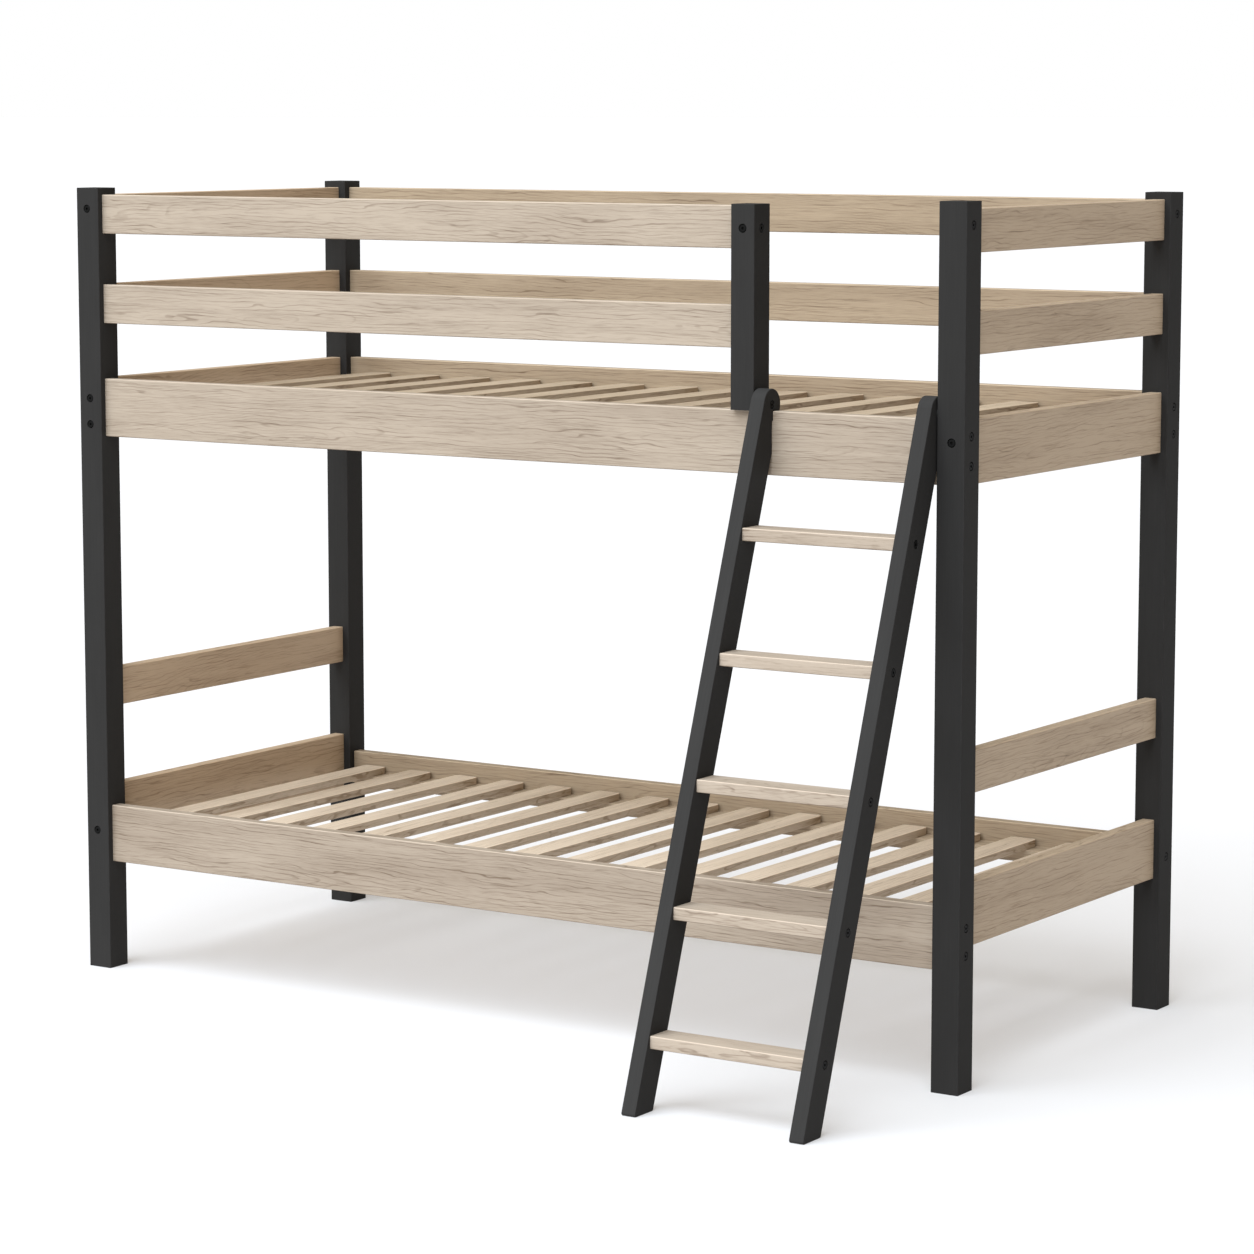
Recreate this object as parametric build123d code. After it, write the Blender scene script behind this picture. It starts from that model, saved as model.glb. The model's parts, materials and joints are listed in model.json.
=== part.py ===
from build123d import *
import os
from math import cos, radians, sin, tan

# Bunk bed with a slanted ladder, for two mattresses of 80 x 200 cm.
# Millimetres, +Z up, X along the bed, the ladder on the -Y side.
# Everything is laid out about the middle of the four posts' footprint, and moved along Y at the end, so that
# the origin is the bottom centre of the whole bed with its ladder.

# ---- frame
LENGTH = 2084.0  # over the posts
WIDTH = 902.0  # over the posts
HEIGHT = 1640.0
POST = 57.0  # side of the square posts
BOARD = 26.0  # thickness of every rail
SETBACK = 14.0  # from the posts' outer faces to the rails' outer faces
EDGE = 2.0  # rounding of posts, rails and stiles
TOP_EDGE = 1.2  # rounding around the posts' flat tops

# ---- rails: underside and top edge above the floor
TOP_GUARD = (1546.0, 1626.0)
SECOND_GUARD = (1361.0, 1441.0)
UPPER_RAIL = (1126.0, 1246.0)
HEAD_RAIL = (554.0, 634.0)
LOWER_FRONT_RAIL = (228.0, 348.0)
LOWER_BACK_RAIL = (268.0, 348.0)  # shallower than the front one
LOWER_END_RAIL = (268.0, 388.0)

# ---- guard post, on the front upper rail beside the ladder
GUARD_WIDTH = 51.0
GUARD_TOP = 1629.0
OPENING = 388.0  # from the guard post to the front right post
TONGUE_DROP = 29.0  # how far the guard post's tongue reaches down behind the rail
GUARD_DOWEL_OFFSET = 16.5  # of its two dowels from its middle
GUARD_SCREW_OFFSET = 6.5

# ---- slats and ledgers
SLAT_WIDTH = 57.0
SLAT_THICKNESS = 16.0
SLAT_GAP = 3.0  # between a slat's end and the rail
SLAT_CORNER = 8.0  # rounding of a slat's end corners
SLAT_EDGE = 1.5
UPPER_DECK = {"top": 1215.0, "count": 14, "pitch": 135.0, "middle": -19.0}
LOWER_DECK = {"top": 320.0, "count": 15, "pitch": 127.0, "middle": -32.0}
LEDGER_DEPTH = 50.0
LEDGER_HEIGHT = 18.0
LEDGER_CLEARANCE = 1.0  # at each end, to the post
PIN_RADIUS = 4.0
PIN_LENGTH = 20.0

# ---- ladder
LEAN = radians(19.3)  # from the vertical
STILE_THICKNESS = 30.0
STILE_DEPTH = 60.0
STILE_GAP = 3.0  # between a stile and the post beside it
PIVOT_SETBACK = 13.0  # behind the posts' front faces
PIVOT_HEIGHT = 1258.0
PIVOT_CLEARANCE = 1.0  # around the stiles' round heads
SEAT_MARGIN = 1.0  # beside them, in the rail
FOOT_ROUND = 5.0
TREAD_COUNT = 5
TREAD_THICKNESS = 24.0
TREAD_DEPTH = 60.0
TREAD_STEP = 224.0
FIRST_TREAD = 141.0  # top face of the lowest tread
TREAD_SETBACK = 3.5  # behind the stiles' front faces
TREAD_DOWEL_OFFSET = 18.0  # behind the bolt

# ---- fasteners
HEAD_RADIUS = 7.0
HEAD_HEIGHT = 4.4
COUNTERBORE = 5.0
SINK_RADIUS = 8.6
SHANK_RADIUS = 3.0
SHANK_HOLE = 3.3
SOCKET_RADIUS = 2.9  # across the hexagon's corners, halved
SOCKET_DEPTH = 2.6
HEAD_CHAMFER = 0.6
INSERT_RADIUS = 5.0
INSERT_BORE = 3.1
INSERT_LENGTH = 25.0
INSERT_RECESS = 0.5
BOLT_REACH = 22.0  # of a bolt into the rail
INSERT_HOLE_DEPTH = 30.0
FIT = 0.05  # radial clearance of pins, dowels and inserts in their holes
DOWEL_RADIUS = 4.0
DOWEL_IN_POST = 15.0
DOWEL_IN_RAIL = 25.0
HOLE_SPARE = 1.0  # extra depth of a blind hole
PLUG_SHANK = 10.0
PIVOT_RADIUS = 4.0
PIVOT_HOLE = 4.3
PIVOT_INSERT_RADIUS = 6.0
PIVOT_INSERT_BORE = 4.1
PIVOT_INSERT_LENGTH = 25.0
PIVOT_REACH = 22.0  # of a pivot bolt into the post
SPACER_RADIUS = 10.0
SPACER_THICKNESS = 2.6
SCREW_RADIUS = 2.25
SCREW_HEAD_RADIUS = 4.5
SCREW_HEAD_HEIGHT = 2.6
CROSS_SLOT = 1.0  # width and depth of the cross in a screw's head
LEDGER_SCREW = 62.0
GUARD_SCREW = 35.0
SCREW_EVERY = 3  # one ledger screw in every third gap between slats

# ---- bolt and dowel heights at the rails' ends
SIDE_JOINTS = {
    "top_guard": ([1597.0], [1565.0]),
    "second_guard": ([], [1383.0, 1419.0]),
    "upper": ([1216.0, 1162.0], [1189.0]),
    "lower": ([310.0, 258.0], [284.0]),
}
END_JOINTS = {
    "top_end": ([1575.0], [1607.0]),
    "second_end": ([], [1383.0, 1419.0]),
    "upper_end": ([1205.0, 1151.0], [1178.0]),
    "head_end": ([], [576.0, 612.0]),
    "lower_end": ([294.0], [330.0, 362.0]),
}
# Where two bolts would cross in one post, or a joint has fewer bolts than its twins.
SPECIAL_JOINTS = {
    ("front_left_post", "top_guard"): ([1575.0], [1607.0]),
    ("front_left_post", "top_end"): ([1597.0], [1565.0]),
    ("guard_post", "top_guard"): ([1584.0], [1562.0]),
    ("front_right_post", "top_end"): ([], [1565.0, 1607.0]),
    ("front_right_post", "upper_end"): ([1205.0], [1151.0, 1178.0]),
    ("front_right_post", "lower_end"): ([], [294.0, 330.0, 362.0]),
    ("back_left_post", "lower"): ([310.0], [286.0, 332.0]),
    ("back_right_post", "lower"): ([310.0], [286.0, 332.0]),
}
PLUG_HEIGHTS = {"front_right_post": 1597.0, "guard_post": 1584.0}

# ---- places that follow from the dimensions
POST_X = LENGTH / 2 - POST / 2
POST_Y = WIDTH / 2 - POST / 2
INNER_X = LENGTH / 2 - POST  # the posts' inner faces
INNER_Y = WIDTH / 2 - POST
RAIL_X = LENGTH / 2 - SETBACK - BOARD / 2  # middle planes of the rails
RAIL_Y = WIDTH / 2 - SETBACK - BOARD / 2
INSIDE_Y = RAIL_Y - BOARD / 2  # inner faces of the side rails
GUARD_RIGHT = INNER_X - OPENING
GUARD_LEFT = GUARD_RIGHT - GUARD_WIDTH
PIVOT_Y = -WIDTH / 2 + PIVOT_SETBACK
STILE_LEFT = GUARD_RIGHT + STILE_GAP
STILE_RIGHT = INNER_X - STILE_GAP
BASE = (Align.CENTER, Align.CENTER, Align.MIN)

solids = {}  # node name -> list of its solids
cuts = {}  # node name -> list of shapes taken out of it at the end


def add(node, *shapes):
    solids.setdefault(node, []).extend(shapes)


def cut(node, *shapes):
    cuts.setdefault(node, []).extend(shapes)


def block(x, y, z):
    """A box from three (low, high) pairs."""
    size = [high - low for low, high in (x, y, z)]
    middle = [(low + high) / 2 for low, high in (x, y, z)]
    return Pos(*middle) * Box(*size)


def rod(point, out, start, end, radius):
    """A cylinder on the line through point along out, between two distances from it."""
    plane = Plane(origin=point, z_dir=out)
    return plane * Pos(0, 0, start) * Cylinder(radius, end - start, align=BASE)


def ring(point, out, start, end, outer, inner):
    return rod(point, out, start, end, outer) - rod(point, out, start, end, inner)


def rounded_bar(bar, axis, radius=EDGE):
    """Rounds the four edges along a bar."""
    return fillet(bar.edges().filter_by(axis), radius)


# ---- fasteners, each along +Z with the outside of its head at the origin
def socket_bolt(length, shank=SHANK_RADIUS):
    head = Pos(0, 0, -HEAD_HEIGHT) * Cylinder(HEAD_RADIUS, HEAD_HEIGHT, align=BASE)
    head = chamfer(head.edges().group_by(Axis.Z)[-1], HEAD_CHAMFER)
    socket = extrude(RegularPolygon(SOCKET_RADIUS, 6), -SOCKET_DEPTH)
    return head + Pos(0, 0, -length) * Cylinder(shank, length - HEAD_HEIGHT, align=BASE) - socket


def wood_screw(length):
    head = Pos(0, 0, -SCREW_HEAD_HEIGHT / 2) * Cone(SCREW_RADIUS, SCREW_HEAD_RADIUS, SCREW_HEAD_HEIGHT)
    shank = Pos(0, 0, -length) * Cylinder(SCREW_RADIUS, length - SCREW_HEAD_HEIGHT, align=BASE)
    cross = Rectangle(SCREW_HEAD_RADIUS, CROSS_SLOT) + Rectangle(CROSS_SLOT, SCREW_HEAD_RADIUS)
    return head + shank - extrude(cross, -CROSS_SLOT)


def screw_hole(point, out, length):
    """Room for a wood screw with its head flush at point, in all that it passes."""
    plane = Plane(origin=point, z_dir=out)
    height = SCREW_HEAD_HEIGHT + FIT
    sink = Pos(0, 0, -height / 2) * Cone(SCREW_RADIUS + FIT, SCREW_HEAD_RADIUS + 2 * FIT, height)
    shank = rod(point, out, -length - HOLE_SPARE, 0, SCREW_RADIUS + FIT)
    return plane * sink + shank


def bolt_through(carrier, taker, face, out, thickness, bolts, inserts):
    """A bolt from the carrier's outside, thickness away from the joint face, into an insert in the taker."""
    outside = Vector(*face) + Vector(*out) * (thickness - COUNTERBORE + HEAD_HEIGHT)
    length = thickness - COUNTERBORE + HEAD_HEIGHT + BOLT_REACH
    add(bolts, Plane(origin=outside, z_dir=out) * socket_bolt(length))
    insert_end = -INSERT_RECESS - INSERT_LENGTH
    add(inserts, ring(face, out, insert_end, -INSERT_RECESS, INSERT_RADIUS, INSERT_BORE))
    cut(carrier, rod(face, out, 0, thickness, SHANK_HOLE))
    cut(carrier, rod(face, out, thickness - COUNTERBORE, thickness, SINK_RADIUS))
    cut(taker, rod(face, out, -INSERT_HOLE_DEPTH, 0, INSERT_RADIUS + FIT))


def dowel(post, rail, face, out, name="frame_dowels"):
    add(name, rod(face, out, -DOWEL_IN_RAIL, DOWEL_IN_POST, DOWEL_RADIUS))
    cut(post, rod(face, out, 0, DOWEL_IN_POST + HOLE_SPARE, DOWEL_RADIUS + FIT))
    cut(rail, rod(face, out, -DOWEL_IN_RAIL - HOLE_SPARE, 0, DOWEL_RADIUS + FIT))


def rail_joint(post, rail, kind, x, y, out, thickness=POST):
    """Bolts and dowels between a rail's end and a post, out pointing from the rail into the post."""
    usual = SIDE_JOINTS.get(kind) or END_JOINTS.get(kind)
    bolt_heights, dowel_heights = SPECIAL_JOINTS.get((post, kind), usual)
    for height in bolt_heights:
        bolt_through(post, rail, (x, y, height), out, thickness, "frame_bolts", "frame_inserts")
    for height in dowel_heights:
        dowel(post, rail, (x, y, height), out)


def hole_plug(post, face, out):
    """A short blind bolt that closes an unused hole."""
    head = Vector(*face) - Vector(*out) * (COUNTERBORE - HEAD_HEIGHT)
    add("hole_plugs", Plane(origin=head, z_dir=out) * socket_bolt(HEAD_HEIGHT + PLUG_SHANK))
    cut(post, rod(face, out, -COUNTERBORE, 0, SINK_RADIUS))
    cut(post, rod(face, out, -COUNTERBORE - PLUG_SHANK - HOLE_SPARE, 0, SHANK_HOLE))


# ---- posts
def make_posts():
    for depth, y in (("front", -POST_Y), ("back", POST_Y)):
        for side, x in (("left", -POST_X), ("right", POST_X)):
            post = rounded_bar(Pos(x, y, 0) * Box(POST, POST, HEIGHT, align=BASE), Axis.Z)
            add(f"{depth}_{side}_post", fillet(post.faces().sort_by(Axis.Z)[-1].edges(), TOP_EDGE))


def make_guard_post():
    """Stands on the front upper rail, with a tongue behind the rail that is screwed to it."""
    rail_top = UPPER_RAIL[1]
    foot = rail_top - TONGUE_DROP
    post = block((GUARD_LEFT, GUARD_RIGHT), (-WIDTH / 2, -INNER_Y), (foot, GUARD_TOP))
    post = rounded_bar(post, Axis.Z)
    post = fillet(post.faces().sort_by(Axis.Z)[-1].edges(), TOP_EDGE)
    in_front = block((GUARD_LEFT, GUARD_RIGHT), (-WIDTH / 2, -INSIDE_Y), (foot, rail_top))
    add("guard_post", post - in_front)
    middle = (GUARD_LEFT + GUARD_RIGHT) / 2
    for x in (middle - GUARD_DOWEL_OFFSET, middle + GUARD_DOWEL_OFFSET):
        dowel("guard_post", "front_upper_rail", (x, -RAIL_Y, rail_top), (0, 0, 1))
    for x in (middle - GUARD_SCREW_OFFSET, middle + GUARD_SCREW_OFFSET):
        point = (x, -INNER_Y, rail_top - TONGUE_DROP / 2)
        add("guard_post_screws", Plane(origin=point, z_dir=(0, 1, 0)) * wood_screw(GUARD_SCREW))
        hole = screw_hole(point, (0, 1, 0), GUARD_SCREW)
        cut("guard_post", hole)
        cut("front_upper_rail", hole)


# ---- rails
def make_side_rails():
    for depth, y, lower in (("front", -RAIL_Y, LOWER_FRONT_RAIL), ("back", RAIL_Y, LOWER_BACK_RAIL)):
        kinds = {"top_guard": TOP_GUARD, "second_guard": SECOND_GUARD, "upper": UPPER_RAIL, "lower": lower}
        for kind, height in kinds.items():
            name = f"{depth}_{kind}_rail"
            short = depth == "front" and kind.endswith("guard")
            right = GUARD_LEFT if short else INNER_X
            rail = block((-INNER_X, right), (y - BOARD / 2, y + BOARD / 2), height)
            add(name, rounded_bar(rail, Axis.X))
            rail_joint(f"{depth}_left_post", name, kind, -INNER_X, y, (-1, 0, 0))
            if short:
                rail_joint("guard_post", name, kind, right, y, (1, 0, 0), GUARD_WIDTH)
            else:
                rail_joint(f"{depth}_right_post", name, kind, right, y, (1, 0, 0))


def make_end_rails():
    kinds = {
        "top_end": TOP_GUARD,
        "second_end": SECOND_GUARD,
        "upper_end": UPPER_RAIL,
        "head_end": HEAD_RAIL,
        "lower_end": LOWER_END_RAIL,
    }
    for side, x in (("left", -RAIL_X), ("right", RAIL_X)):
        for kind, height in kinds.items():
            name = f"{side}_{kind}_rail"
            rail = block((x - BOARD / 2, x + BOARD / 2), (-INNER_Y, INNER_Y), height)
            add(name, rounded_bar(rail, Axis.Y))
            rail_joint(f"front_{side}_post", name, kind, x, -INNER_Y, (0, -1, 0))
            rail_joint(f"back_{side}_post", name, kind, x, INNER_Y, (0, 1, 0))


# ---- decks
def slat_solid():
    """One slat about the origin, along Y, its top at z = 0."""
    slat = Box(SLAT_WIDTH, 2 * (INSIDE_Y - SLAT_GAP), SLAT_THICKNESS, align=(Align.CENTER, Align.CENTER, Align.MAX))
    slat = fillet(slat.edges().filter_by(Axis.Z), SLAT_CORNER)
    ends = slat.faces().sort_by(Axis.Z)
    return fillet(ends[0].edges() + ends[-1].edges(), SLAT_EDGE)


def make_deck(name, deck):
    under = deck["top"] - SLAT_THICKNESS
    first = deck["middle"] - deck["pitch"] * (deck["count"] - 1) / 2
    centres = [first + deck["pitch"] * i for i in range(deck["count"])]
    half = INNER_X - LEDGER_CLEARANCE
    for depth, sign in (("front", -1), ("back", 1)):
        ledger = f"{depth}_{name}_ledger"
        inner, outer = sorted((sign * (INSIDE_Y - LEDGER_DEPTH), sign * INSIDE_Y))
        add(ledger, block((-half, half), (inner, outer), (under - LEDGER_HEIGHT, under)))
        for x in [centre + deck["pitch"] / 2 for centre in centres[::SCREW_EVERY]]:
            point = (x, sign * (INSIDE_Y - LEDGER_DEPTH), under - LEDGER_HEIGHT / 2)
            out = (0, -sign, 0)
            add("ledger_screws", Plane(origin=point, z_dir=out) * wood_screw(LEDGER_SCREW))
            hole = screw_hole(point, out, LEDGER_SCREW)
            cut(ledger, hole)
            cut(f"{depth}_{name}_rail", hole)
    slat = slat_solid()
    pin_y = INSIDE_Y - LEDGER_DEPTH / 2
    reach = PIN_LENGTH / 2
    for y in (-pin_y, pin_y):
        slat = slat - rod((0, y, -SLAT_THICKNESS), (0, 0, 1), 0, reach + FIT, PIN_RADIUS + FIT)
    for x in centres:
        add(f"{name}_slats", Pos(x, 0, deck["top"]) * slat)
        for depth, y in (("front", -pin_y), ("back", pin_y)):
            add("slat_pins", rod((x, y, under), (0, 0, 1), -reach, reach, PIN_RADIUS))
            cut(f"{depth}_{name}_ledger", rod((x, y, under), (0, 0, 1), -reach - FIT, 0, PIN_RADIUS + FIT))


# ---- ladder
def stile_centre(height):
    """Where the stiles' centre line is at a height."""
    return PIVOT_Y - (PIVOT_HEIGHT - height) * tan(LEAN)


def stile_outline():
    """Side view of a stile: a straight slanted bar with a round head, cut back where it passes the rail."""
    foot = STILE_DEPTH / 2 / cos(LEAN)
    reach_y, reach_z = STILE_DEPTH / 2 * cos(LEAN), STILE_DEPTH / 2 * sin(LEAN)
    bar = make_face(
        Polyline(
            (PIVOT_Y - reach_y, PIVOT_HEIGHT + reach_z),
            (stile_centre(0) - foot, 0),
            (stile_centre(0) + foot, 0),
            (PIVOT_Y + reach_y, PIVOT_HEIGHT - reach_z),
            close=True,
        )
    )
    bar = fillet(bar.vertices().group_by(Axis.Y)[0], FOOT_ROUND)
    head = Pos(PIVOT_Y, PIVOT_HEIGHT) * Circle(STILE_DEPTH / 2)
    rail_face = -RAIL_Y - BOARD / 2 - PIVOT_CLEARANCE
    behind = Rectangle(STILE_DEPTH, PIVOT_HEIGHT, align=(Align.MIN, Align.MIN))
    return bar - Pos(rail_face, 0) * behind + head


def make_stile(name, inner_x, outer_x, post):
    """A stile between its inner face, towards the treads, and its outer face, towards a post."""
    low, high = sorted((inner_x, outer_x))
    stile = extrude(Plane.YZ.offset(low) * stile_outline(), high - low)
    stile = fillet(stile.faces().filter_by(Axis.X).edges(), EDGE)
    add(name, stile)
    out = (1, 0, 0) if outer_x > inner_x else (-1, 0, 0)
    pivot = (inner_x, PIVOT_Y, PIVOT_HEIGHT)
    cut(name, rod(pivot, out, 0, STILE_THICKNESS, PIVOT_HOLE))
    cut(name, rod(pivot, out, 0, COUNTERBORE, SINK_RADIUS))
    face = Vector(*pivot) + Vector(*out) * (STILE_THICKNESS + STILE_GAP)
    head = Vector(*pivot) + Vector(*out) * (COUNTERBORE - HEAD_HEIGHT)
    length = STILE_THICKNESS + STILE_GAP - COUNTERBORE + HEAD_HEIGHT + PIVOT_REACH
    add("pivot_bolts", Plane(origin=head, z_dir=Vector(*out) * -1) * socket_bolt(length, PIVOT_RADIUS))
    add("pivot_spacers", ring(face, out, -SPACER_THICKNESS, 0, SPACER_RADIUS, PIVOT_HOLE))
    end = INSERT_RECESS + PIVOT_INSERT_LENGTH
    add("pivot_inserts", ring(face, out, INSERT_RECESS, end, PIVOT_INSERT_RADIUS, PIVOT_INSERT_BORE))
    cut(post, rod(face, out, 0, INSERT_HOLE_DEPTH, PIVOT_INSERT_RADIUS + FIT))


def make_ladder():
    inner_left = STILE_LEFT + STILE_THICKNESS
    inner_right = STILE_RIGHT - STILE_THICKNESS
    make_stile("left_stile", inner_left, STILE_LEFT, "guard_post")
    make_stile("right_stile", inner_right, STILE_RIGHT, "front_right_post")
    # The stiles' heads turn in round seats in the rail's top edge, the right one open to the rail's end.
    seat_radius = STILE_DEPTH / 2 + PIVOT_CLEARANCE
    seats = (
        (STILE_LEFT - SEAT_MARGIN, inner_left + SEAT_MARGIN),
        (inner_right - SEAT_MARGIN, INNER_X),
    )
    for start, end in seats:
        cut("front_upper_rail", rod((0, PIVOT_Y, PIVOT_HEIGHT), (1, 0, 0), start, end, seat_radius))
    for i in range(TREAD_COUNT):
        name = f"tread_{i + 1}"
        top = FIRST_TREAD + TREAD_STEP * i
        front = stile_centre(top) - STILE_DEPTH / 2 / cos(LEAN) + TREAD_SETBACK
        tread = block((inner_left, inner_right), (front, front + TREAD_DEPTH), (top - TREAD_THICKNESS, top))
        add(name, rounded_bar(tread, Axis.X))
        middle = top - TREAD_THICKNESS / 2
        bolt_y = stile_centre(middle)
        for stile, x, out in (("left_stile", inner_left, (-1, 0, 0)), ("right_stile", inner_right, (1, 0, 0))):
            face = (x, bolt_y, middle)
            bolt_through(stile, name, face, out, STILE_THICKNESS, "tread_bolts", "tread_inserts")
            dowel(stile, name, (x, bolt_y + TREAD_DOWEL_OFFSET, middle), out, "tread_dowels")


def main():
    make_posts()
    make_guard_post()
    make_side_rails()
    make_end_rails()
    make_deck("upper", UPPER_DECK)
    make_deck("lower", LOWER_DECK)
    make_ladder()
    hole_plug("front_right_post", (LENGTH / 2, -RAIL_Y, PLUG_HEIGHTS["front_right_post"]), (1, 0, 0))
    plug_x = (GUARD_LEFT + GUARD_RIGHT) / 2
    hole_plug("guard_post", (plug_x, -WIDTH / 2, PLUG_HEIGHTS["guard_post"]), (0, -1, 0))
    for node, tools in cuts.items():
        solids[node] = [solids[node][0] - tools]
    nodes = {node: Compound(children=shapes) for node, shapes in solids.items()}
    box = nodes["left_stile"].bounding_box()
    shift = -(box.min.Y + WIDTH / 2) / 2
    os.makedirs("parts", exist_ok=True)
    for node, shape in nodes.items():
        export_step(Pos(0, shift, 0) * shape, f"parts/{node}.step")
    print("bed middle at y =", round(shift, 3), "mm, nodes", len(nodes))


main()
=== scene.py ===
import json
import random
from math import radians

import bmesh
import bpy
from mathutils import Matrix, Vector


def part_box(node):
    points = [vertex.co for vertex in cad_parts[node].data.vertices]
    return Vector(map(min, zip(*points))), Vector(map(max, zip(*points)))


# The looks of the bunk bed: every CAD node keeps its shape and gets a procedural finish here.
# Metres, in the part's frame: z up, the front towards -y. The camera stands in front, to the right.

MM = 0.001
FLOOR_RADIUS = 400.0
CAMERA_LENS = 115.55  # mm, on Blender's usual 36 mm sensor
CAMERA_PLACE = (4.4735, -6.6253, 1.82)
CAMERA_TURN = (82.5392, 0.0, 32.9946)  # degrees
KEY_TURN = (36.0, 0.0, -6.0)  # degrees: from above, in front of the bed and a little to its left
KEY_ANGLE = 60.0  # degrees across, for soft shadows
KEY_STRENGTH = 4.8
KEY_COLOUR = (0.80, 0.895, 1.0)
FILL_COLOUR = (1.0, 0.885, 0.72, 1.0)
FILL_STRENGTH = 0.47
FILL_SLOPE = (-0.5, -0.4, 0.3)  # the fill is stronger from the left, the front and above

OAK = ((0.425, 0.350, 0.274), (0.165, 0.116, 0.078))  # pale and dark wood
BOARD_LIGHT_AND_SHADE_TINTS = {  # factors for the oak's colours. Painted shade: the back boards and the right ends get a more golden copy of the oak, for the warm shade on their faces. Painted light: the left ends get a paler copy, which lifts their inner faces out of the bed's shade. The treads are a little paler.
    "front": (1.0, 1.0, 1.0),
    "tread": (1.05, 1.05, 1.06),
    "back": (0.96, 0.90, 0.79),
    "left": (1.22, 1.10, 0.95),
    "right": (1.03, 0.955, 0.85),
}
# The slats' wood. Painted light: the lower deck's wood is paler, which lifts it out of the upper deck's
# shade. Painted shade: the upper deck's wood is more golden.
SLAT_LIT_AND_SHADED_WOOD = {
    "upper_slats": ((0.470, 0.370, 0.262), (0.200, 0.136, 0.082)),
    "lower_slats": ((0.650, 0.530, 0.405), (0.285, 0.203, 0.128)),
}
SLAT_COUNTS = {"upper_slats": 14, "lower_slats": 15}
SLAT_WIDTH = 57 * MM
SLAT_SIDE_SHADE = 0.32  # painted shade: how much darker a slat's sides are than its top and bottom faces
SLAT_BACK_SHADE = 0.16  # painted shade: how much darker a slat grows towards its back end
SLAT_SPREAD = 0.2  # how far the slats' tones differ
BOARD_SPREAD = 0.04  # how far a board's tone strays, up or down
BOARD_TONE_AND_SHADE = {  # how much darker a board is than the rest, as a share of the way to the dark wood; on the back rails it is painted shade for their inner faces
    "front_second_guard_rail": 0.07,
    "front_upper_rail": 0.08,
    "front_lower_rail": 0.26,
    "back_top_guard_rail": 0.12,
    "back_second_guard_rail": 0.12,
    "back_upper_rail": 0.20,
    "back_lower_rail": 0.06,
}
PAINT = ((0.0235, 0.0226, 0.0219), (0.0405, 0.0389, 0.0376))  # dark and light patches
PAINT_EDGE_HIGHLIGHT = (0.056, 0.055, 0.054)  # painted highlight: paler paint along the edges
PAINT_TONE = 0.92  # how light the paint is on most bars
PAINT_LIGHT_AND_SHADE = {  # and on the bars that differ: painted shade darkens the right posts, and painted light brightens the stiles
    "front_right_post": 0.84,
    "back_right_post": 0.78,
    "left_stile": 1.08,
    "right_stile": 1.04,
}
PAINT_SIDE_SHADE = {  # painted shade: how light these bars' left and right faces are, next to their other faces
    "guard_post": 0.85,
    "left_stile": 0.76,
    "right_stile": 0.84,
}
FLOOR = ((0.484, 0.475, 0.477), (0.518, 0.509, 0.511))  # dark and light patches
FLOOR_GLOW = 0.29  # lifts the floor in the shadows, as the photo's white ground does

LADDER_LEAN = radians(19.3)
STILE_WIDTH = 60 * MM

WOOD_RELIEF = 0.35 * MM
SLAT_RELIEF = 0.30 * MM
PAINT_RELIEF = 0.12 * MM
METAL_RELIEF = 0.05 * MM
WOOD_GLOSS = 0.35  # these four are the shader's specular level
PAINT_GLOSS = 0.05
BOLT_GLOSS = 0.08
FLOOR_GLOSS = 0.1

# The sockets that the finishes share.
BAR_INPUTS = {"Place": "Vector", "Seed": "Vector", "Edge": "Float", "Tone": "Float"}
FINISH_OUTPUTS = {"Color": "Color", "Roughness": "Float", "Height": "Float"}

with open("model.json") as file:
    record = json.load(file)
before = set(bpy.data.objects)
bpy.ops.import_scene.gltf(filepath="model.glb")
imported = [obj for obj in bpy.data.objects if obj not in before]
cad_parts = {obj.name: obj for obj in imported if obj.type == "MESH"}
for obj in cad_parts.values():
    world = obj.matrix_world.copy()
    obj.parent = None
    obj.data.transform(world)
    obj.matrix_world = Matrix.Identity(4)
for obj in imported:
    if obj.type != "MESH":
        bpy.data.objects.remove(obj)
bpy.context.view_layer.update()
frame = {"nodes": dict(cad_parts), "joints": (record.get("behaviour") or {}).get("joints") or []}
nodes = frame["nodes"]
chance = random.Random(20)


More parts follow.
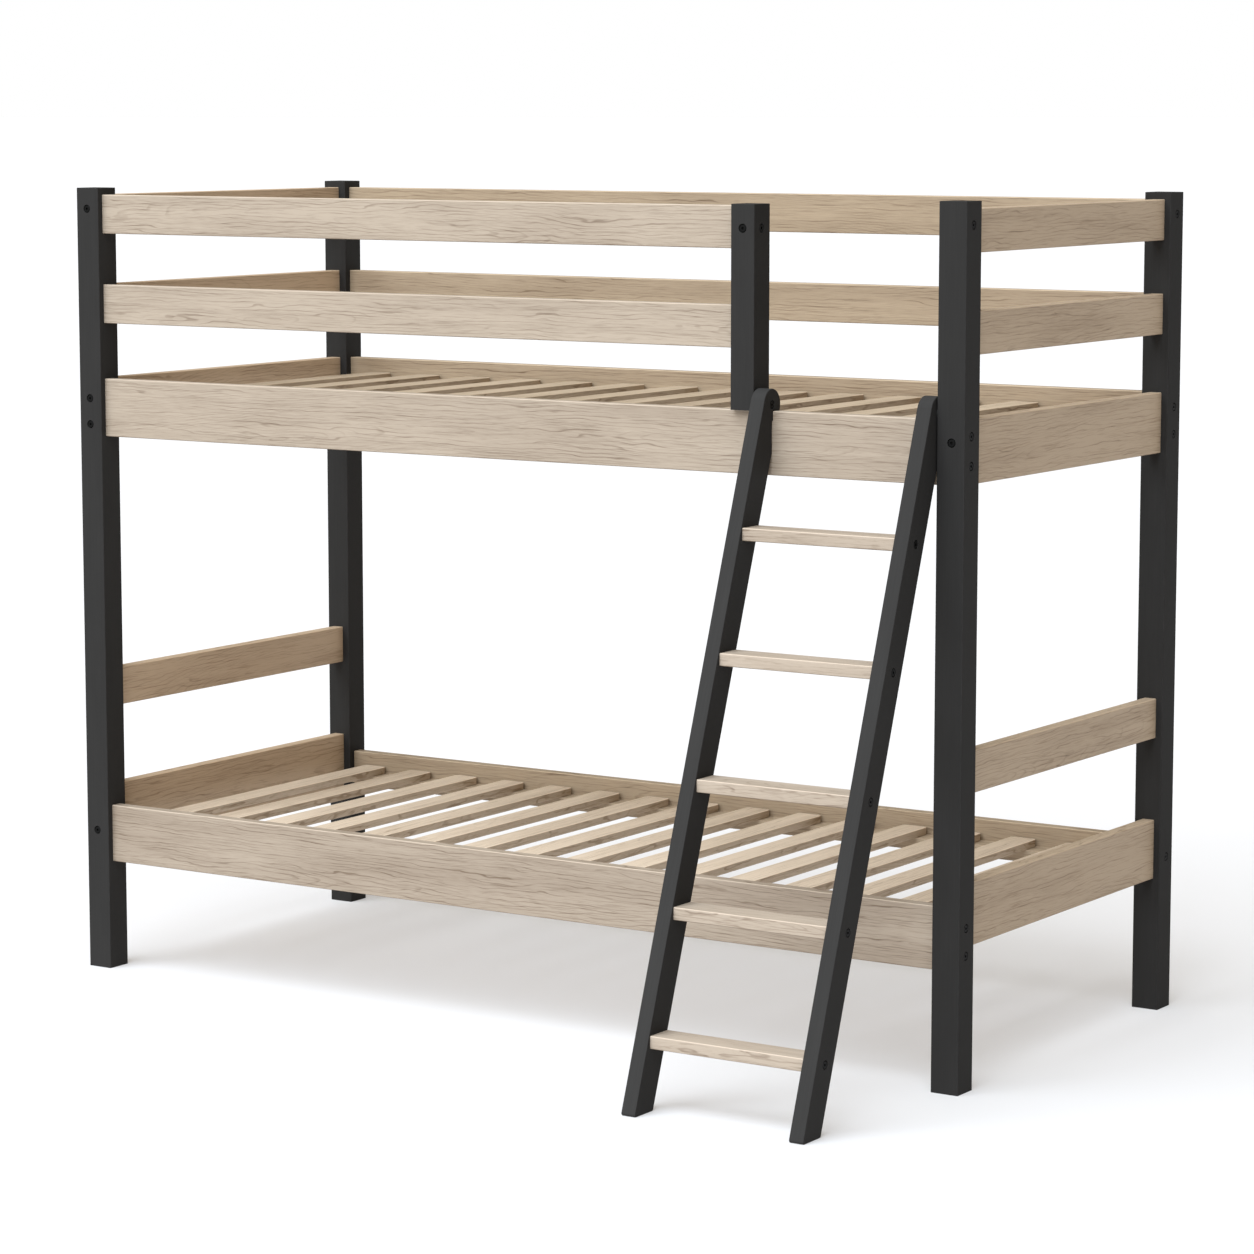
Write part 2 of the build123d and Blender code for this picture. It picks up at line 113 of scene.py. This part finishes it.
class Tree:
    """Short calls for building a node tree. A value is a number, a tuple or another node's output."""

    def __init__(self, tree):
        self.tree = tree

    def add(self, kind, values, output=0, **settings):
        node = self.tree.nodes.new("ShaderNode" + kind)
        for name, setting in settings.items():
            setattr(node, name, setting)
        for key, value in values.items():
            self.put(node.inputs[key], value)
        return node.outputs[output]

    def put(self, socket, value):
        if isinstance(value, bpy.types.NodeSocket):
            self.tree.links.new(value, socket)
        else:
            socket.default_value = value

    def math(self, operation, *values):
        return self.add("Math", dict(enumerate(values)), operation=operation)

    def vector(self, operation, *values):
        return self.add("VectorMath", dict(enumerate(values)), operation=operation)

    def weighted(self, *pairs):
        """The sum of value * weight over the pairs."""
        total = 0.0
        for value, weight in pairs:
            total = self.math("MULTIPLY_ADD", value, weight, total)
        return total

    def step(self, value, low, high, start=0.0, end=1.0):
        """A smooth step from start at low to end at high."""
        values = {"Value": value, "From Min": low, "From Max": high, "To Min": start, "To Max": end}
        return self.add("MapRange", values, interpolation_type="SMOOTHSTEP")

    def noise(self, place, scales, detail=2.0, rough=0.5, warp=0.0):
        """Noise from 0 to 1, with so many cycles per metre along each axis."""
        values = {"Vector": self.vector("MULTIPLY", place, scales), "Scale": 1.0}
        return self.add("TexNoise", values | {"Detail": detail, "Roughness": rough, "Distortion": warp})

    def mix(self, share, first, second):
        return self.add("Mix", {0: share, 6: first, 7: second}, output=2, data_type="RGBA")

    def split(self, vector):
        """The x, y and z of a vector."""
        return list(self.add("SeparateXYZ", {"Vector": vector}).node.outputs)

    def place(self):
        """Where a point is in its object, in metres."""
        return self.add("TexCoord", {}, output=3)

    def facing(self, axis):
        """How far the surface faces along an axis of its object, from -1 to 1."""
        return self.split(self.add("TexCoord", {}, output=1))[axis]

    def scaled(self, vector, factor):
        """A vector or colour times a number."""
        return self.add("VectorMath", {0: vector, "Scale": factor}, operation="SCALE")


def opaque(colour):
    return (*colour, 1.0)


def new_group(name, inputs, outputs):
    """An empty node group: its Tree, its input sockets by name, and its output node."""
    tree = bpy.data.node_groups.new(name, "ShaderNodeTree")
    for label, kind in inputs.items():
        tree.interface.new_socket(label, in_out="INPUT", socket_type="NodeSocket" + kind)
    for label, kind in outputs.items():
        tree.interface.new_socket(label, in_out="OUTPUT", socket_type="NodeSocket" + kind)
    entry = tree.nodes.new("NodeGroupInput")
    return Tree(tree), entry.outputs, tree.nodes.new("NodeGroupOutput").inputs


# ---- wood: place is (along, across, through) a board, in metres
def make_wood_group():
    t, given, result = new_group(
        "limed_wood",
        BAR_INPUTS | {"Pale": "Color", "Dark": "Color"},
        FINISH_OUTPUTS,
    )
    place = t.vector("ADD", given["Place"], given["Seed"])
    axis = t.split(place)[0]
    across, through = t.split(given["Place"])[1:]
    # A few small knots, which push the growth rings aside.
    cells = t.add("TexVoronoi", {"Vector": t.vector("MULTIPLY", place, (3.2, 8.0, 8.0)), "Scale": 1.0}).node
    picked = t.step(t.add("SeparateColor", {"Color": cells.outputs["Color"]}), 0.62, 0.66)
    push = t.math("MULTIPLY", t.step(cells.outputs["Distance"], 0.0, 0.45, 1.0, 0.0), picked)
    knot = t.math("MULTIPLY", t.step(cells.outputs["Distance"], 0.015, 0.05, 1.0, 0.0), picked)
    # The rings lie about a pith that wanders a few centimetres round the board's middle.
    sway = t.noise(place, (1.3, 3.0, 3.0), detail=1.0)
    ripple = t.noise(place, (8.0, 26.0, 26.0), detail=3.0)
    side = t.weighted((across, 1.0), (t.math("SINE", t.math("MULTIPLY", axis, 1.9)), 0.030), (sway, 0.06))
    depth = t.weighted((through, 1.0), (t.math("SINE", t.math("MULTIPLY", axis, 2.3)), 0.035), (sway, 0.05))
    radius = t.math("SQRT", t.math("ADD", t.math("MULTIPLY", side, side), t.math("MULTIPLY", depth, depth)))
    radius = t.weighted((radius, 1.0), (ripple, 0.014), (push, 0.009))
    ring = t.math("FRACT", t.math("MULTIPLY", radius, 190.0))
    late = t.math("MULTIPLY", t.step(ring, 0.68, 0.90), t.step(ring, 0.92, 1.0, 1.0, 0.0))
    faint = t.step(t.noise(place, (5.0, 40.0, 40.0), detail=2.0), 0.38, 0.66, 0.1, 1.0)
    late = t.math("MULTIPLY", late, faint)

    # Thin dark lines along the grain, about 8 mm apart, which waver and come and go.
    spread = t.noise(place, (2.0, 60.0, 60.0), detail=1.0)
    waver = t.noise(place, (4.0, 16.0, 16.0), detail=3.0, rough=0.6)
    vein = t.math("FRACT", t.weighted((across, 125.0), (waver, 4.5), (spread, 1.6), (push, 1.2)))
    vein = t.math("MULTIPLY", t.step(vein, 0.74, 0.88), t.step(vein, 0.93, 1.0, 1.0, 0.0))
    vein = t.math("MULTIPLY", vein, t.step(t.noise(place, (7.0, 70.0, 70.0), detail=2.0), 0.38, 0.60))

    wavy = t.vector("ADD", place, t.add("CombineXYZ", {1: t.math("MULTIPLY", ripple, 0.012)}))
    lines = t.step(t.noise(wavy, (8.0, 300.0, 300.0), detail=3.0, rough=0.6), 0.54, 0.66)
    fibre = t.noise(wavy, (28.0, 900.0, 900.0), detail=2.0, rough=0.6)
    pores = t.step(fibre, 0.60, 0.72)
    clouds = t.noise(place, (2.6, 13.0, 13.0), detail=2.0)
    streaks = t.noise(place, (1.4, 60.0, 60.0), detail=2.0)
    shade = t.weighted(
        (late, 0.28), (vein, 0.48), (lines, 0.26), (pores, 0.18), (t.math("SUBTRACT", fibre, 0.5), 0.5),
        (t.math("SUBTRACT", clouds, 0.5), 0.65), (t.math("SUBTRACT", streaks, 0.5), 0.45),
        (knot, 0.75), (push, 0.05), (given["Tone"], 1.0),
    )
    colour = t.mix(t.math("ADD", shade, 0.06), given["Pale"], given["Dark"])
    # Painted highlight and painted shade: the upper arrises are painted pale, and the lower ones dark.
    up = t.facing(2)
    arris = t.step(given["Edge"], 0.5 * MM, 3.0 * MM, 1.0, 0.0)
    edge_highlight = t.math("MULTIPLY", arris, t.step(up, -0.1, 0.4, 0.12, 0.60))
    colour = t.mix(edge_highlight, colour, t.scaled(given["Pale"], 1.4))
    edge_shade = t.math("MULTIPLY", arris, t.step(up, -0.7, -0.1, 0.7, 0.0))
    colour = t.mix(edge_shade, colour, given["Dark"])
    t.put(result["Color"], colour)
    t.put(result["Roughness"], t.weighted((lines, 0.10), (clouds, 0.12), (1.0, 0.47)))
    t.put(result["Height"], t.weighted((lines, -0.5), (pores, -0.35), (late, -0.25)))
    return t.tree


# ---- paint and metal
def make_paint_group():
    t, given, result = new_group(
        "black_paint",
        BAR_INPUTS | {"Side Shade": "Float"},
        FINISH_OUTPUTS,
    )
    place = t.vector("ADD", given["Place"], given["Seed"])
    clouds = t.noise(place, (5.0, 14.0, 14.0), detail=3.0)
    grain = t.noise(place, (9.0, 420.0, 420.0), detail=2.0, rough=0.6)
    peel = t.noise(place, (520.0, 520.0, 520.0), detail=1.0)
    shade = t.weighted((clouds, 0.55), (grain, 0.45))
    colour = t.mix(shade, opaque(PAINT[0]), opaque(PAINT[1]))
    # Painted highlight: a thin, uneven pale line along the bar's edges.
    rim = t.math("ADD", given["Edge"], t.math("MULTIPLY", t.noise(place, (60.0, 60.0, 60.0)), 1.2 * MM))
    edge_highlight = t.step(rim, 0.7 * MM, 1.9 * MM, 0.75, 0.0)
    colour = t.mix(edge_highlight, colour, opaque(PAINT_EDGE_HIGHLIGHT))
    # Painted shade: faces that look left or right are darkened by the bar's side factor; the bar's tone
    # scales the whole paint, and holds painted shade on the right posts and painted light on the stiles.
    sideways = t.math("ABSOLUTE", t.facing(0))
    tone = t.math("MULTIPLY", given["Tone"], t.step(sideways, 0.5, 0.9, 1.0, given["Side Shade"]))
    t.put(result["Color"], t.scaled(colour, tone))
    t.put(result["Roughness"], t.weighted((clouds, 0.14), (grain, 0.10), (edge_highlight, -0.08), (1.0, 0.46)))
    t.put(result["Height"], t.weighted((peel, 0.5), (grain, 0.5)))
    return t.tree


def make_metal_group():
    t, given, result = new_group(
        "metal",
        {"Place": "Vector", "Base": "Color", "Rub": "Color"},
        FINISH_OUTPUTS,
    )
    blotch = t.noise(given["Place"], (260.0, 260.0, 260.0), detail=3.0)
    scratch = t.noise(given["Place"], (2600.0, 400.0, 400.0), detail=2.0, rough=0.7)
    rub = t.step(scratch, 0.55, 0.8, 0.0, 0.5)
    t.put(result["Color"], t.mix(t.math("MULTIPLY", blotch, rub), given["Base"], given["Rub"]))
    t.put(result["Roughness"], t.weighted((blotch, 0.18), (scratch, 0.12), (1.0, 0.28)))
    t.put(result["Height"], t.weighted((scratch, 1.0), (blotch, 0.4)))
    return t.tree


wood_group, paint_group, metal_group = make_wood_group(), make_paint_group(), make_metal_group()


# ---- where a point is in its own board
def board_axes(node):
    """The middle, half sizes and axes of a bar, longest axis first."""
    low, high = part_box(node)
    size = high - low
    order = sorted(range(3), key=lambda i: -size[i])
    return (low + high) / 2, [size[i] / 2 for i in order], order


def swizzled(t, point, order):
    """A point with its axes in another order."""
    parts = t.split(point)
    return t.add("CombineXYZ", {i: parts[axis] for i, axis in enumerate(order)})


def edge_distance(t, point, halves):
    """How far a point on a bar's surface is from the nearest edge along the bar."""
    sides = [t.math("ABSOLUTE", side) for side in t.split(point)[1:]]
    return t.math("MAXIMUM", *(t.math("SUBTRACT", half, side) for half, side in zip(halves, sides)))


def bar_place(t, node):
    middle, halves, order = board_axes(node)
    point = swizzled(t, t.vector("SUBTRACT", t.place(), tuple(middle)), order)
    return point, edge_distance(t, point, halves[1:])


def slat_place(t, node, count):
    """Each slat has its own middle; the second output is the slat's number."""
    low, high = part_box(node)
    pitch = (high.x - low.x - SLAT_WIDTH) / (count - 1)
    middle = (low + high) / 2
    x, y, z = t.split(t.place())
    start = low.x + SLAT_WIDTH / 2 - pitch / 2
    turns = t.math("DIVIDE", t.math("SUBTRACT", x, start), pitch)
    number = t.math("FLOOR", turns)
    across = t.math("MULTIPLY", t.math("SUBTRACT", t.math("FRACT", turns), 0.5), pitch)
    along = t.math("SUBTRACT", y, middle.y)
    through = t.math("SUBTRACT", z, middle.z)
    point = t.add("CombineXYZ", {0: along, 1: across, 2: through})
    return point, edge_distance(t, point, (SLAT_WIDTH / 2, (high.z - low.z) / 2)), number


def stile_place(t, node):
    """Along the slanted stile from its pivot, with the distance to the nearest long edge."""
    low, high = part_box(node)
    pivot = Vector(frame["joints"][0]["pos_m"])
    pivot.x = (low.x + high.x) / 2
    point = t.vector("SUBTRACT", t.place(), tuple(pivot))
    values = {"Vector": point, "Center": (0, 0, 0), "Axis": (1, 0, 0), "Angle": LADDER_LEAN}
    point = swizzled(t, t.add("VectorRotate", values, rotation_type="AXIS_ANGLE"), (2, 1, 0))
    return point, edge_distance(t, point, (STILE_WIDTH / 2, (high.x - low.x) / 2))


def new_material(name):
    material = bpy.data.materials.new(name)
    material.use_nodes = True
    t = Tree(material.node_tree)
    return material, t, material.node_tree.nodes["Principled BSDF"].inputs


def use_group(t, group, values):
    holder = t.tree.nodes.new("ShaderNodeGroup")
    holder.node_tree = group
    for name, value in values.items():
        t.put(holder.inputs[name], value)
    return holder.outputs


def shade(t, shader, group, values, relief):
    made = use_group(t, group, values)
    t.put(shader["Base Color"], made["Color"])
    t.put(shader["Roughness"], made["Roughness"])
    bump = {"Strength": 0.6, "Distance": relief, "Height": made["Height"]}
    t.put(shader["Normal"], t.add("Bump", bump))


def random_seed():
    return tuple(chance.uniform(1, 40) for _ in range(3))


def dress(node, material):
    data = nodes[node].data
    data.materials.clear()
    data.materials.append(material)


def wood_colours(pair, light_and_shade_tint=(1.0, 1.0, 1.0)):
    pale, dark = (tuple(a * b for a, b in zip(colour, light_and_shade_tint)) for colour in pair)
    return {"Pale": opaque(pale), "Dark": opaque(dark)}


def paint_wood(node):
    material, t, shader = new_material("wood_" + node)
    point, edge = bar_place(t, node)
    # The board's tone; on the back rails it carries painted shade.
    tone = BOARD_TONE_AND_SHADE.get(node, 0.0) + chance.uniform(-BOARD_SPREAD, BOARD_SPREAD)
    values = {"Place": point, "Seed": random_seed(), "Edge": edge, "Tone": tone}
    # The oak's colours carry the painted light and painted shade of the board's tint.
    shade(t, shader, wood_group, values | wood_colours(OAK, BOARD_LIGHT_AND_SHADE_TINTS[node.split("_")[0]]), WOOD_RELIEF)
    shader["Specular IOR Level"].default_value = WOOD_GLOSS
    dress(node, material)


def paint_slats(node):
    material, t, shader = new_material("wood_" + node)
    point, edge, number = slat_place(t, node, SLAT_COUNTS[node])
    number = t.math("ADD", number, chance.uniform(1, 9))
    draw = t.add("TexWhiteNoise", {"W": number}, noise_dimensions="1D").node  # one draw for each slat
    # Painted shade on the slat's sides.
    side = t.step(t.math("ABSOLUTE", t.facing(2)), 0.3, 0.8, SLAT_SIDE_SHADE, 0.0)
    # Painted shade towards the slat's back end.
    back = t.step(t.split(point)[0], 0.05, 0.38, 0.0, SLAT_BACK_SHADE)
    tone = t.weighted(
        (draw.outputs["Value"], SLAT_SPREAD), (side, 1.0), (back, 1.0), (1.0, -SLAT_SPREAD / 2)
    )
    values = {"Place": point, "Seed": t.scaled(draw.outputs["Color"], 30.0), "Edge": edge, "Tone": tone}
    shade(t, shader, wood_group, values | wood_colours(SLAT_LIT_AND_SHADED_WOOD[node]), SLAT_RELIEF)
    shader["Specular IOR Level"].default_value = WOOD_GLOSS
    dress(node, material)


def paint_black(node, place):
    material, t, shader = new_material("paint_" + node)
    point, edge = place(t, node)
    values = {"Place": point, "Seed": random_seed(), "Edge": edge}
    # The tone holds painted shade on the right posts and painted light on the stiles; the side factor holds
    # painted shade.
    values |= {"Tone": PAINT_LIGHT_AND_SHADE.get(node, PAINT_TONE), "Side Shade": PAINT_SIDE_SHADE.get(node, 1.0)}
    shade(t, shader, paint_group, values, PAINT_RELIEF)
    shader["Specular IOR Level"].default_value = PAINT_GLOSS
    dress(node, material)


def metal(name, base, rub, metallic, specular=0.5):
    material, t, shader = new_material(name)
    values = {"Place": t.place(), "Base": opaque(base), "Rub": opaque(rub)}
    shade(t, shader, metal_group, values, METAL_RELIEF)
    shader["Metallic"].default_value = metallic
    shader["Specular IOR Level"].default_value = specular
    return material


# ---- finishes
def make_finishes():
    for node in sorted(nodes):
        if node.endswith(("_rail", "_ledger")) or node.startswith("tread_") and node[-1].isdigit():
            paint_wood(node)
    for node in SLAT_COUNTS:
        paint_slats(node)
    for node in sorted(n for n in nodes if n.endswith("post")):
        paint_black(node, bar_place)
    for node in ("left_stile", "right_stile"):
        paint_black(node, stile_place)
    black_steel = metal("black_steel", (0.005, 0.005, 0.005), (0.030, 0.030, 0.030), 0.0, BOLT_GLOSS)
    zinc = metal("zinc_steel", (0.55, 0.55, 0.53), (0.75, 0.75, 0.72), 1.0)
    nylon = metal("nylon", (0.02, 0.02, 0.02), (0.04, 0.04, 0.04), 0.0)
    beech = metal("raw_beech", (0.55, 0.40, 0.26), (0.42, 0.28, 0.16), 0.0)
    for material, members in (
        (black_steel, ("frame_bolts", "tread_bolts", "pivot_bolts", "hole_plugs")),
        (zinc, ("frame_inserts", "tread_inserts", "pivot_inserts", "ledger_screws", "guard_post_screws")),
        (nylon, ("pivot_spacers",)),
        (beech, ("frame_dowels", "tread_dowels", "slat_pins")),
    ):
        for node in members:
            dress(node, material)


# ---- floor, light and camera
def make_floor():
    mesh = bpy.data.meshes.new("floor")
    shape = bmesh.new()
    bmesh.ops.create_circle(shape, cap_ends=True, segments=96, radius=FLOOR_RADIUS)
    shape.to_mesh(mesh)
    shape.free()
    floor = bpy.data.objects.new("floor", mesh)
    bpy.context.scene.collection.objects.link(floor)
    material, t, shader = new_material("pale_floor")
    clouds = t.noise(t.place(), (0.8, 0.8, 0.8), detail=2.0)
    t.put(shader["Base Color"], t.mix(clouds, opaque(FLOOR[0]), opaque(FLOOR[1])))
    t.put(shader["Roughness"], t.step(clouds, 0.0, 1.0, 0.75, 0.9))
    shader["Specular IOR Level"].default_value = FLOOR_GLOSS
    shader["Emission Color"].default_value = (1, 1, 1, 1)
    shader["Emission Strength"].default_value = FLOOR_GLOW
    mesh.materials.append(material)


def make_light():
    scene = bpy.context.scene
    world = bpy.data.worlds.new("studio")
    scene.world = world
    world.use_nodes = True
    t = Tree(world.node_tree)
    slope = t.vector("DOT_PRODUCT", t.add("TexCoord", {}), FILL_SLOPE).node.outputs["Value"]
    strength = t.math("MULTIPLY_ADD", slope, FILL_STRENGTH, FILL_STRENGTH)
    fill = t.add("Background", {"Color": FILL_COLOUR, "Strength": strength})
    backdrop = t.add("Background", {"Color": (1.0, 1.0, 1.0, 1.0), "Strength": 1.0})
    seen = t.add("LightPath", {})  # the white backdrop is brighter than the light that it gives
    surface = t.add("MixShader", {0: seen, 1: fill, 2: backdrop})
    t.put(world.node_tree.nodes["World Output"].inputs["Surface"], surface)
    lamp = bpy.data.lights.new("key", "SUN")
    lamp.energy = KEY_STRENGTH
    lamp.angle = radians(KEY_ANGLE)
    lamp.color = KEY_COLOUR
    key = bpy.data.objects.new("key", lamp)
    key.rotation_euler = [radians(a) for a in KEY_TURN]
    scene.collection.objects.link(key)
    scene.view_settings.view_transform = "Standard"


def make_camera():
    camera = bpy.data.objects.new("camera", bpy.data.cameras.new("camera"))
    camera.data.lens = CAMERA_LENS
    camera.location = CAMERA_PLACE
    camera.rotation_euler = [radians(a) for a in CAMERA_TURN]
    bpy.context.scene.collection.objects.link(camera)
    bpy.context.scene.camera = camera


make_finishes()
make_floor()
make_light()
make_camera()
